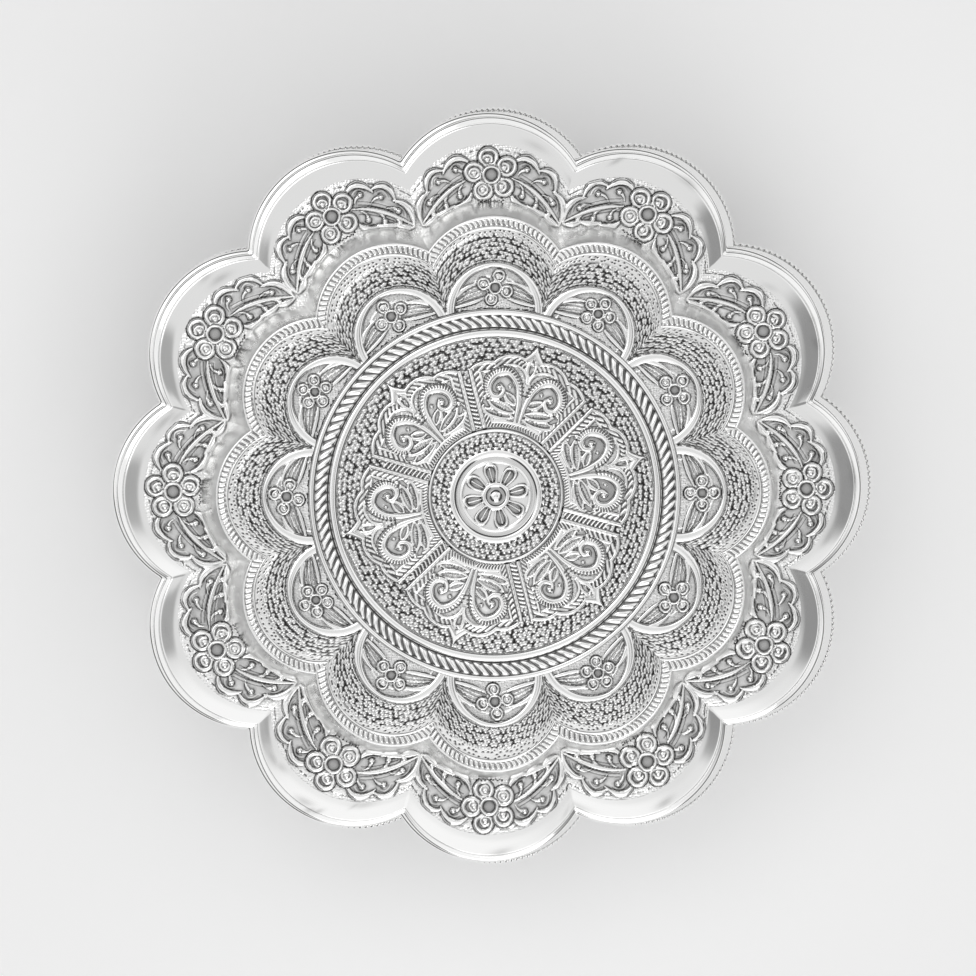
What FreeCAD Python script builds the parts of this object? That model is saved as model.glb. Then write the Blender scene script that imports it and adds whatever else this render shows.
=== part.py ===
import FreeCAD, Part

import math
import os

# Round box in sheet silver: a twelve-lobed base on a foot ring, under a stepped and domed lid that
# lifts straight off. Millimetres. The origin is the middle of the foot's underside and +Z is up.
# Lobes point along +X and along every twelfth of a turn from there, with notches half way between.
# Each lobe's arc is an even number of flats, so that a corner stands at its tip.

lobe_count = 12
half_lobe = math.pi / lobe_count
lobe_flats = 6
sheet = 0.9

# The foot ring under the base, with a wire round its lower edge.
foot_height = 6.0
foot_sheet = 1.4
foot_flare = 3.2
foot_wire_height = 2.2
foot_wire_bulge = 1.2
foot_share = 0.9

# The base's wall, its turned-in bottom round a let-in floor, and the ledge that the lid stands on.
wall_height = 48.0
rope_wire_height = 3.0
rope_wire_bulge = 1.6
ledge_inset = 0.4

# The wall's bowed section from the bottom to where it stands upright behind the rope wire: radius as a
# share of the ledge's outline, height as a share of the wall below the wire.
wall_shares = ((0.8, 0.0), (0.902, 0.3), (0.9755, 0.65), (1.0, 1.0))

# The round collar inside the lid's notches, and how loosely the lid sits round it.
collar_height = 4.6
collar_tuck = 2.0
lid_play = 2.7
lid_rest_x = -2.2
lid_rest_y = -0.2

# The lid's outline, with its notches as a share of its tips, its lip wire, its upright side, its rolled
# rim and the rises inside the rim.
lid_tip_r = 120.0
lid_notch_share = 0.904
lip_wire_height = 2.6
lip_wire_bulge = 1.3
lid_side_height = 5.0
rim_round_r = 5.0
step_rise = 15.6
petal_rise = 1.8
ring_rise = 1.8
dome_rise = 2.4

# Lobed lines of the lid from the rim inwards: tip and notch as shares of the lid's own.
step_foot_shares = (0.776, 0.7816)
step_top_shares = (0.736, 0.737)
petal_shares = (0.618, 0.5555)

# Round mouldings of the lid's middle: outer and inner edge, as shares of the ring's outer radius, and
# the height of their crests as a share of their width.
ring_share = 0.4933
ring_moulding_shares = ((1.0, 0.97), (0.97, 0.9), (0.9, 0.851))
medallion_moulding_shares = ((0.37, 0.343), (0.252, 0.213))
bead_share = 0.037
moulding_crest_share = 0.42

# Raised work on the lid in low bosses: how high the bold and the fine ones stand, how deep they root in
# the sheet, and how large their crests are.
bold_relief = 1.3
fine_relief = 0.9
root_share = 0.7
crest_share = 0.7

# The rim's flower on each lobe, with a leaf spray at either side that bends along the lobe. Outlines are
# (along, out) shares of a reach, about a place that is a share of the lid's tip radius out.
rim_flower_share = 0.838
rim_flower_r = 7.0
flower_petals = 5
valley_share = 0.76
spray_reach = 28.0
spray_bend_r = 26.0
spray_shares = ((0.27, 0.0), (0.42, 0.25), (0.78, 0.2), (1.0, 0.0), (0.6, -0.2))

# The raised edge of the petals, and on each petal a flower between two leaves. Of an outline that is the
# same to either side only the half is given, from one end of its middle line to the other.
petal_edge_shares = ((0.9885, 0.997), (0.977, 0.994))
petal_spray_share = 0.541
petal_spray_reach = 12.5
petal_spray_shares = ((0.0, 0.36), (0.33, 0.1), (1.0, -0.36), (0.3, -0.31), (0.0, -0.34))

# The pair of scrolls in each of the middle's panels, and the medallion's petals.
panel_count = 6
panel_turn = math.radians(14)
scroll_share = 0.275
scroll_reach = 14.2
scroll_shares = ((0.0, 0.24), (0.52, 0.59), (0.86, 0.45), (1.0, 0.11), (0.63, -0.24), (0.0, -0.56))
medallion_petals = 8
medallion_petal_share = 0.0604
medallion_petal_reach = 5.3
medallion_petal_shares = ((0.0, 0.5), (0.19, 0.1), (0.0, -0.5))

rim_steps = 2
inside_rim_steps = 1
wire_steps = 3


def lobes(tip_r, notch_r):
    """Outline of round lobes: how far out each lobe's arc is centred, and the arc's radius."""
    centre_r = (tip_r**2 - notch_r**2) / (2 * (tip_r - notch_r * math.cos(half_lobe)))
    return centre_r, tip_r - centre_r


def circle(radius):
    return lobes(radius, radius)


def grown(outline, distance):
    """The outline moved out by a distance, or in by a negative one, with its arcs' centres kept."""
    centre_r, arc_r = outline
    return centre_r, arc_r + distance


def tip_of(outline):
    centre_r, arc_r = outline
    return centre_r + arc_r


def notch_of(outline):
    centre_r, arc_r = outline
    return centre_r * math.cos(half_lobe) + math.sqrt(arc_r**2 - (centre_r * math.sin(half_lobe)) ** 2)


def share_of(outline, tip_share, notch_share):
    """An outline with its own shares of another one's tip and notch radius."""
    return lobes(tip_of(outline) * tip_share, notch_of(outline) * notch_share)


def polar(radius, angle, z):
    return FreeCAD.Vector(radius * math.cos(angle), radius * math.sin(angle), z)


def lobed_corners(outline, z):
    """Corners of the lobes' flats, lobe by lobe from the notch before it."""
    centre_r, arc_r = outline
    notch = polar(notch_of(outline), half_lobe, z) - polar(centre_r, 0, z)
    swing = math.atan2(notch.y, notch.x)
    corners = []
    for lobe in range(lobe_count):
        middle = 2 * half_lobe * lobe
        for flat in range(lobe_flats):
            turn = middle + swing * (2 * flat / lobe_flats - 1)
            corners.append(polar(centre_r, middle, z) + polar(arc_r, turn, 0))
    return corners


def lobed_wire(outline, z):
    """Closed wire of the lobes' flats, or a true circle where the arcs share the middle as their centre."""
    centre_r, arc_r = outline
    if centre_r == 0:
        return Part.Wire(Part.makeCircle(arc_r, FreeCAD.Vector(0, 0, z)))
    corners = lobed_corners(outline, z)
    return Part.makePolygon(corners + corners[:1])


def band_faces(lower, upper):
    """Faces from one closed line of corners to the next: a quad to each side, or two triangles where the
    sides are skew."""
    faces = []
    for index, corner in enumerate(lower):
        quad = [lower[index - 1], corner, upper[index], upper[index - 1]]
        outline = Part.makePolygon(quad + quad[:1])
        if outline.findPlane():
            faces.append(Part.Face(outline))
        else:
            faces.append(Part.Face(Part.makePolygon(quad[:3] + quad[:1])))
            faces.append(Part.Face(Part.makePolygon(quad[2:] + quad[:1] + quad[2:3])))
    return faces


def solid_of(faces):
    solid = Part.Solid(Part.Shell(faces))
    if solid.Volume < 0:
        solid.reverse()
    return solid


def lobed_faces(lower, upper):
    """Faces from one lobed line to the next: flat, upright or slanting."""
    outline, z = lower
    next_outline, next_z = upper
    if z == next_z:
        wires = [lobed_wire(outline, z), lobed_wire(next_outline, z)]
        return [Part.makeFace(wires, "Part::FaceMakerBullseye")]
    if outline == next_outline:
        return lobed_wire(outline, z).extrude(FreeCAD.Vector(0, 0, next_z - z)).Faces
    return band_faces(lobed_corners(outline, z), lobed_corners(next_outline, next_z))


def lobed_ring(section):
    """Solid whose closed section is a list of (outline, height), carried round all the lobes."""
    faces = []
    for lower, upper in zip(section, section[1:] + section[:1]):
        faces.extend(lobed_faces(lower, upper))
    return solid_of(faces)


def half_round_section(bottom, height, bulge):
    """A half-round wire's section, as (how far it stands out, height) from its lower edge up."""
    section = []
    for step in range(wire_steps + 1):
        turn = math.pi * step / wire_steps
        reach = bulge * math.sin(turn) if 0 < step < wire_steps else 0
        section.append((reach, bottom + height / 2 * (1 - math.cos(turn))))
    return section


def lobed_wire_round(outline, bottom, height, bulge):
    """Half-round wire with its flat side against a lobed outline."""
    return lobed_ring([(grown(outline, reach), z) for reach, z in half_round_section(bottom, height, bulge)])


def revolved(section):
    """Solid whose closed section is a list of (radius, height), turned about the axis."""
    corners = [FreeCAD.Vector(radius, 0, z) for radius, z in section]
    face = Part.Face(Part.makePolygon(corners + corners[:1]))
    return face.revolve(FreeCAD.Vector(0, 0, 0), FreeCAD.Vector(0, 0, 1), 360)


# Outlines and heights that more than one piece follows.
lid_outline = lobes(lid_tip_r, lid_tip_r * lid_notch_share)
lid_side = grown(lid_outline, -lip_wire_bulge)
lip_inside = grown(lid_side, -sheet)
collar_r = notch_of(lip_inside) - lid_play
ledge_outline = grown(lid_outline, -ledge_inset)
ledge_z = foot_height + wall_height
rim_z = ledge_z + lid_side_height + rim_round_r
step_z = rim_z + step_rise
petal_z = step_z + petal_rise
ring_z = petal_z + ring_rise
centre_z = ring_z + dome_rise
ring_r = lid_tip_r * ring_share


def wall_section(inward):
    """Lobed lines of the base's wall from the bottom up, moved in by a distance."""
    low = foot_height + inward
    rounded_height = ledge_z - rope_wire_height - low
    section = []
    for radius_share, height_share in wall_shares:
        outline = share_of(ledge_outline, radius_share, radius_share)
        section.append((grown(outline, -inward), low + rounded_height * height_share))
    return section


floor_r = notch_of(wall_section(0)[0][0]) * foot_share


def base_wall():
    """Lobed wall, turned in flat at the bottom as far as the floor and at the top as far as the collar."""
    ledge = [
        (ledge_outline, ledge_z),
        (circle(collar_r), ledge_z),
        (circle(collar_r), ledge_z - sheet),
        (grown(ledge_outline, -sheet), ledge_z - sheet),
    ]
    bottom = [(circle(floor_r), foot_height + sheet), (circle(floor_r), foot_height)]
    return lobed_ring(wall_section(0) + ledge + wall_section(sheet)[::-1] + bottom)


def base_floor():
    low = foot_height
    return revolved([(0, low), (floor_r, low), (floor_r, low + sheet), (0, low + sheet)])


def base_collar():
    bottom = ledge_z - sheet - collar_tuck
    top = ledge_z + collar_height
    return revolved([(collar_r, bottom), (collar_r, top), (collar_r - sheet, top), (collar_r - sheet, bottom)])


def base_rope_wire():
    return lobed_wire_round(ledge_outline, ledge_z - rope_wire_height, rope_wire_height, rope_wire_bulge)


def foot_ring():
    """Low flared ring whose top straddles the seam between the wall's turned-in bottom and the floor."""
    top_r = floor_r + foot_sheet / 2
    bottom_r = top_r + foot_flare
    outer = [(bottom_r, 0), (bottom_r, foot_wire_height), (top_r, foot_height)]
    return revolved(outer + [(top_r - foot_sheet, foot_height), (bottom_r - foot_sheet, 0)])


def foot_wire():
    inner_r = floor_r + foot_sheet / 2 + foot_flare
    section = half_round_section(0, foot_wire_height, foot_wire_bulge)
    return revolved([(inner_r + reach, z) for reach, z in section])


def rolled_rim(outline, round_r, steps):
    """Quarter round from the lid's upright side to the top of its rim, in a number of flats."""
    section = []
    for step in range(steps + 1):
        turn = math.pi / 2 * step / steps
        height = ledge_z + lid_side_height + round_r * math.sin(turn)
        section.append((grown(outline, -round_r * (1 - math.cos(turn))), height))
    return section


def lid_tiers():
    """The lid from its lip to the middle ring: rolled rim, chased band, steep step, ground and petals."""
    step_foot = share_of(lid_outline, *step_foot_shares)
    step_top = share_of(lid_outline, *step_top_shares)
    petals = share_of(lid_outline, *petal_shares)
    edge_crest, edge_inside = [share_of(petals, *shares) for shares in petal_edge_shares]
    ring = circle(ring_r)
    top = [
        (step_foot, rim_z),
        (step_top, step_z),
        (petals, step_z),
        (edge_crest, petal_z + fine_relief),
        (edge_inside, petal_z),
        (ring, petal_z),
    ]
    under = [
        (ring, step_z - sheet),
        (grown(step_top, -sheet), step_z - sheet),
        (grown(step_foot, -sheet), rim_z - sheet),
    ]
    inside_rim = rolled_rim(lip_inside, rim_round_r - sheet, inside_rim_steps)
    upright = [(lip_inside, ledge_z), (lid_side, ledge_z)]
    return lobed_ring(rolled_rim(lid_side, rim_round_r, rim_steps) + top + under + inside_rim[::-1] + upright)


def mouldings(shares, z):
    """Top edges of round mouldings that stand on one level, as (radius, height) from the outside in."""
    section = []
    for outer_share, inner_share in shares:
        outer = ring_r * outer_share
        inner = ring_r * inner_share
        crest = z + (outer - inner) * moulding_crest_share
        section.extend([(outer, z), ((outer + inner) / 2, crest), (inner, z)])
    return without_repeats(section)


def without_repeats(section):
    """The section with a point dropped where it repeats the one before it."""
    return [point for index, point in enumerate(section) if index == 0 or point != section[index - 1]]


def lid_middle():
    """The round middle of the lid: ring mouldings, a low dome, the medallion's mouldings and a bead."""
    ring_top = mouldings(ring_moulding_shares, ring_z)
    medallion_top = mouldings(medallion_moulding_shares, centre_z)
    bead_r = ring_r * bead_share
    bead_shoulder = bead_r * math.sqrt(0.5)
    bead = [(bead_r, centre_z), (bead_shoulder, centre_z + bead_shoulder), (0, centre_z + bead_r)]
    under = [
        (0, centre_z - sheet),
        (medallion_top[0][0], centre_z - sheet),
        (ring_top[-1][0], ring_z - sheet),
        (ring_r - ring_rise - petal_rise, ring_z - sheet),
        (ring_r, step_z - sheet),
    ]
    return revolved(ring_top + medallion_top + bead + under)


def mirrored(half):
    """A whole outline from the half to one side of its middle line."""
    return list(half) + [(-along, out) for along, out in half[-2:0:-1]]


def scaled(shares, reach):
    """An outline's shares of a reach, as lengths."""
    return [(along * reach, out * reach) for along, out in shares]


def bent(outline, bend_r, side):
    """An outline of lengths bent round an arc through its own middle, to one side (1) or the other (-1)."""
    turned = []
    for along, out in outline:
        swing = along / bend_r
        turned.append((side * (bend_r + out) * math.sin(swing), (bend_r + out) * math.cos(swing) - bend_r))
    return turned


def flower_outline(radius):
    """Outline of a flower with round petals' tips and the valleys between them."""
    outline = []
    for point in range(2 * flower_petals):
        turn = math.pi * point / flower_petals
        reach = radius * valley_share if point % 2 else radius
        outline.append((reach * math.sin(turn), reach * math.cos(turn)))
    return outline


def boss(outline, out_r, turn, z, height):
    """Low boss with sloping sides on a level, about a point out from the axis, rooted in the sheet."""
    corners = [polar(out_r + out, turn, 0) + polar(along, turn + math.pi / 2, 0) for along, out in outline]
    middle = sum(corners, FreeCAD.Vector(0, 0, 0)) / len(corners)
    root = [corner + FreeCAD.Vector(0, 0, z - sheet * root_share) for corner in corners]
    crest_z = FreeCAD.Vector(0, 0, z + height)
    crest = [middle + (corner - middle) * crest_share + crest_z for corner in corners]
    ends = [Part.Face(Part.makePolygon(end + end[:1])) for end in (root, crest)]
    return solid_of(band_faces(root, crest) + ends)


def lobe_bosses():
    """On each lobe the rim's flower and its two leaf sprays, and the petal's flower and leaves."""
    flower = flower_outline(rim_flower_r)
    spray = scaled(spray_shares, spray_reach)
    petal_spray = scaled(mirrored(petal_spray_shares), petal_spray_reach)
    bosses = []
    for lobe in range(lobe_count):
        turn = 2 * half_lobe * lobe
        rim_flower_place = lid_tip_r * rim_flower_share
        bosses.append(boss(flower, rim_flower_place, turn, rim_z, bold_relief))
        for side in (-1, 1):
            bosses.append(boss(bent(spray, spray_bend_r, side), rim_flower_place, turn, rim_z, bold_relief))
        bosses.append(boss(petal_spray, lid_tip_r * petal_spray_share, turn, petal_z, fine_relief))
    return bosses


def middle_bosses():
    """The panels' scrolls, which lie on the low dome's slope, and the medallion's petals."""
    dome_outer = ring_r * ring_moulding_shares[-1][-1]
    dome_inner = ring_r * medallion_moulding_shares[0][0]
    slope = math.atan(dome_rise / (dome_outer - dome_inner))
    scrolls = scaled(mirrored(scroll_shares), scroll_reach)
    scroll_r = lid_tip_r * scroll_share
    scroll_z = centre_z - (scroll_r - dome_inner) * math.tan(slope)
    bosses = []
    for panel in range(panel_count):
        turn = panel_turn + 2 * math.pi * panel / panel_count
        pair = boss(scrolls, scroll_r, turn, scroll_z, fine_relief)
        pair.rotate(polar(scroll_r, turn, scroll_z), polar(1, turn + math.pi / 2, 0), math.degrees(slope))
        bosses.append(pair)
    petal = scaled(mirrored(medallion_petal_shares), medallion_petal_reach)
    for index in range(medallion_petals):
        turn = panel_turn + 2 * math.pi * index / medallion_petals
        bosses.append(boss(petal, lid_tip_r * medallion_petal_share, turn, centre_z, fine_relief))
    return bosses


def lid_shell():
    return lid_tiers().fuse([lid_middle()] + lobe_bosses() + middle_bosses())


def lid_lip_wire():
    return lobed_wire_round(lid_side, ledge_z, lip_wire_height, lip_wire_bulge)


def on_lid(shape):
    """The lid lies a little off the base's middle, within its play on the collar."""
    return shape.translated(FreeCAD.Vector(lid_rest_x, lid_rest_y, 0))


def main():
    os.makedirs("parts", exist_ok=True)
    pieces = {
        "foot_ring": foot_ring(),
        "foot_wire": foot_wire(),
        "base_floor": base_floor(),
        "base_wall": base_wall(),
        "base_rope_wire": base_rope_wire(),
        "base_collar": base_collar(),
        "lid_lip_wire": on_lid(lid_lip_wire()),
        "lid_shell": on_lid(lid_shell()),
    }
    for name, shape in pieces.items():
        shape.exportStep(os.path.join("parts", name + ".step"))
        print(name, shape.isValid(), len(shape.Solids), "volume", round(shape.Volume / 1000, 2), "cm3")


main()
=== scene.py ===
"""A round, twelve-lobed box in chased silver: looks of the lid, its relief, the base and the studio.

Design lengths are in millimetres about the box's axis and become metres where a mesh is made.
"""

import logging
import math
from dataclasses import dataclass, field, replace
from enum import Enum
from functools import reduce
from typing import Any, Iterable, Optional, Sequence

import bmesh
import bpy
import numpy as np
from mathutils import Matrix, Vector

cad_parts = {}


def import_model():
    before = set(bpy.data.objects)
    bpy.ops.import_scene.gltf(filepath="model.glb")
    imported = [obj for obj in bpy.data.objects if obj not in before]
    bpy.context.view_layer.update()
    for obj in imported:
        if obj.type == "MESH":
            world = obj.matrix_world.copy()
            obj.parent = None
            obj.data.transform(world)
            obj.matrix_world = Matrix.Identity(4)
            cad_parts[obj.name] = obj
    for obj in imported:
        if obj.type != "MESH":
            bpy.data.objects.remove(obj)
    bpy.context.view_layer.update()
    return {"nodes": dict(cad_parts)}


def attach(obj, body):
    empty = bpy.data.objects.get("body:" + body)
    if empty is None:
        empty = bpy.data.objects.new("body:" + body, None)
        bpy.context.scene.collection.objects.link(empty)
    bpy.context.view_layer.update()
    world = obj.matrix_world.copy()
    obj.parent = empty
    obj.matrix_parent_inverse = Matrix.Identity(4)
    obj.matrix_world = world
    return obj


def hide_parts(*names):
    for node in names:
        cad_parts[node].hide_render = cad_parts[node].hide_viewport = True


Array = np.ndarray
Pair = tuple[float, float]
Socket = bpy.types.NodeSocket

LOG = logging.getLogger("box")
MM = 0.001
LOBES = 12
HALF_LOBE = math.pi / LOBES
FULL_TURN = 2 * math.pi
SHEET = 0.9  # how thick the silver is
PIN = 0.02  # where a round skin ends beside the axis
BED = -0.24  # the level of the sunk beds in leaves and flowers
PLAIN = 0.1  # the height under which sheet counts as plain ground
RAISED = 0.14  # the height from which work isn't matted at all
SUNK = 0.22  # the depth at which a recess is painted fully dark, oxide with shade
RECESSES = ((0.8, 2), (0.5, 6))  # weight of the painted oxide and shade in close and wide recesses, and the points they look out to
UNEVEN = (0.004, 0.35, 0.02, 0.03)  # a hand's greatest error in angle, radius, turn and scale


class Body(Enum):
    """The two bodies that the pieces ride on."""

    BASE = "base"
    LID = "lid"


# Small functions of heights and angles


def unit(values: Array) -> Array:
    """Values kept between 0 and 1."""
    return np.clip(values, 0, 1)


def wave(phase: Array) -> Array:
    """A wave from 0 to 1 that is highest at each full turn."""
    return unit(0.5 + 0.5 * np.cos(phase))


def highest(*heights: Array) -> Array:
    """The greatest of several heights at each point."""
    return reduce(np.maximum, heights)


def lobe_turn(angle: Array) -> Array:
    """Angles about the axis, counted from the middle of the lobe that each falls in."""
    return (angle + HALF_LOBE) % (2 * HALF_LOBE) - HALF_LOBE


def parts_of_turn(parts: int) -> list[Pair]:
    """Splits the full turn into equal parts at the lobes' notches.

    Args:
        parts: how many.

    Returns:
        Each part's first and last angle.
    """
    halves = 2 * LOBES // parts
    starts = [HALF_LOBE + part * halves * HALF_LOBE for part in range(parts)]
    return [(start, start + halves * HALF_LOBE) for start in starts]


def ridge(distance: Array, half: float | Array, height: float, fullness: float = 0.5) -> Array:
    """Rounded ridge about a line: half-round with a fullness of 0.5, with softer feet above it."""
    return height * unit(1 - (distance / half) ** 2) ** fullness


def laid_on(height: Array, *lifts: Array) -> Array:
    """Lays ridges on heights, and leaves sunk places as they are where the ridges end.

    Args:
        height: the heights.
        lifts: the ridges, 0 outside them.

    Returns:
        The new heights.
    """
    for lift in lifts:
        height = np.where(lift > 0, np.maximum(height, lift), height)
    return height


def pearls(row: Array, column: Array, wrap: int, size: float, jitter: float) -> Array:
    """Punched pearls in staggered rows, with a hand's unevenness.

    Args:
        row: row coordinate, one unit to a row.
        column: column coordinate, one unit to a pearl.
        wrap: how many pearls go round before the first one comes again.
        size: a pearl's radius in units.
        jitter: how far a pearl may stand off its place.

    Returns:
        Heights from 0 to 1.
    """
    lift = np.zeros(np.broadcast(row, column).shape)
    for row_step in (-1, 0, 1):
        for column_step in (-1, 0, 1):
            r = np.floor(row) + row_step
            c = np.floor(column - 0.5 * (r % 2)) + column_step
            seed = r * 127.1 + (c % wrap) * 311.7
            off_r = (np.sin(seed) * 43758.5453 % 1 - 0.5) * 2 * jitter
            off_c = (np.sin(seed + 17.3) * 24634.6345 % 1 - 0.5) * 2 * jitter
            away = np.hypot(row - r - 0.5 - off_r, column - 0.5 * (r % 2) - c - 0.5 - off_c)
            lift = np.maximum(lift, ridge(away, size, 1.0, 0.6))
    return lift


def between(dots: Array) -> Array:
    """How far into the ground between pearls each point is, from 0 to 1, for the painted shade there."""
    return unit(1 - dots / 0.35)


def sunk(height: Array, closed: bool, reach: int) -> Array:
    """How sunk each point is against those around it, from 0 to 1.

    Args:
        height: heights in rows and columns.
        closed: whether the first column follows the last.
        reach: how many points to look out to.

    Returns:
        Shares in the same shape.
    """
    total = np.zeros(height.shape)
    for axis in (0, 1):
        for step in range(-reach, reach + 1):
            if axis == 1 and closed:
                moved = np.roll(height[:, :-1], step, axis=1)
                moved = np.concatenate([moved, moved[:, :1]], axis=1)
            else:
                index = np.clip(np.arange(height.shape[axis]) + step, 0, height.shape[axis] - 1)
                moved = np.take(height, index, axis=axis)
            total += moved
    return unit((total / (4 * reach + 2) - height) / SUNK)


def recesses(height: Array, closed: bool) -> Array:
    """How dark the close and the wide recesses are painted together: oxide in the hollows with painted shade.
    """
    close, wide = (weight * sunk(height, closed, reach) for weight, reach in RECESSES)
    return close + wide


# Lines and places


@dataclass(frozen=True)
class LobedLine:
    """Closed line of twelve round lobes about the axis, given by its tip and notch radius."""

    tip: float
    notch: float

    @property
    def centre(self) -> float:
        """How far out each lobe's arc has its centre."""
        return (self.tip**2 - self.notch**2) / (2 * (self.tip - self.notch * math.cos(HALF_LOBE)))

    @property
    def arc(self) -> float:
        """The radius of each lobe's arc."""
        return self.tip - self.centre

    def grown(self, distance: float) -> "LobedLine":
        """The line moved out by a distance with its arcs' centres kept.

        Args:
            distance: how far out, or in where negative.

        Returns:
            The moved line.
        """
        arc = self.arc + distance
        across = self.centre * math.sin(HALF_LOBE)
        notch = self.centre * math.cos(HALF_LOBE) + math.sqrt(arc**2 - across**2)
        return LobedLine(self.tip + distance, notch)

    def share(self, share: float) -> "LobedLine":
        """The line made larger or smaller about the axis."""
        return LobedLine(self.tip * share, self.notch * share)

    def radius(self, angle: Array) -> Array:
        """The line's radius at angles about the axis, 0 at a lobe's tip."""
        turn = lobe_turn(angle)
        return self.centre * np.cos(turn) + np.sqrt(self.arc**2 - (self.centre * np.sin(turn)) ** 2)

    def about_lobe(self, radius: Array, angle: Array) -> tuple[Array, Array]:
        """Places about the centre of the nearest lobe's arc, across the lobe and out along it."""
        turn = lobe_turn(angle)
        return radius * np.sin(turn), radius * np.cos(turn) - self.centre


def circle(radius: float) -> LobedLine:
    """A round line as a lobed one with its arcs' centres on the axis."""
    return LobedLine(radius, radius)


OUTLINE = LobedLine(120.0, 108.48)


@dataclass(frozen=True)
class Place:
    """Where a motif is drawn: (along, out) lengths of the motif become points of the sheet's own plane."""

    origin: Pair
    turn: float
    scale: float = 1.0
    mirrored: bool = False

    def put(self, points: Iterable[Sequence[float]]) -> Array:
        """Motif points moved to the sheet.

        Args:
            points: (along, out) pairs, along the strip from the motif's middle and outwards from it.

        Returns:
            Array of (u, v) points on the sheet.
        """
        along, out = np.array(list(points), dtype=float).T * self.scale
        if self.mirrored:
            along = -along
        cosine, sine = math.cos(self.turn), math.sin(self.turn)
        u = self.origin[0] + out * cosine - along * sine
        v = self.origin[1] + out * sine + along * cosine
        return np.stack([u, v], axis=1)

    def spot(self, point: Sequence[float]) -> Array:
        """One motif point moved to the sheet."""
        return self.put([point])[0]

    def sides(self) -> tuple["Place", "Place"]:
        """The place as it is and mirrored, for the two halves of a motif."""
        return self, replace(self, mirrored=True)


def bow(start: Sequence[float], middle: Sequence[float], end: Sequence[float], steps: int = 9) -> Array:
    """Points on a curve between two ends.

    Args:
        start: its first point.
        middle: the point that it is drawn towards.
        end: its last point.
        steps: how many points to make.

    Returns:
        Array of points.
    """
    t = np.linspace(0, 1, steps)[:, None]
    a, b, c = (np.array(point, dtype=float) for point in (start, middle, end))
    return (1 - t) ** 2 * a + 2 * t * (1 - t) * b + t**2 * c


def flowing(points: Sequence[Sequence[float]], steps: int = 5) -> Array:
    """Points on a smooth line through all the given ones.

    Args:
        points: the points to pass through.
        steps: how many points to make on each run.

    Returns:
        Array of points.
    """
    knots = np.array(points, dtype=float)
    knots = np.vstack([2 * knots[0] - knots[1], knots, 2 * knots[-1] - knots[-2]])
    t = np.linspace(0, 1, steps, endpoint=False)[:, None]
    runs = []
    for a, b, c, d in zip(knots, knots[1:], knots[2:], knots[3:]):
        square, cube = 2 * a - 5 * b + 4 * c - d, 3 * b - a - 3 * c + d
        runs.append(0.5 * (2 * b + (c - a) * t + square * t**2 + cube * t**3))
    return np.vstack(runs + [knots[-2:-1]])


# Chasing: heights drawn over a patch of sheet


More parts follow.
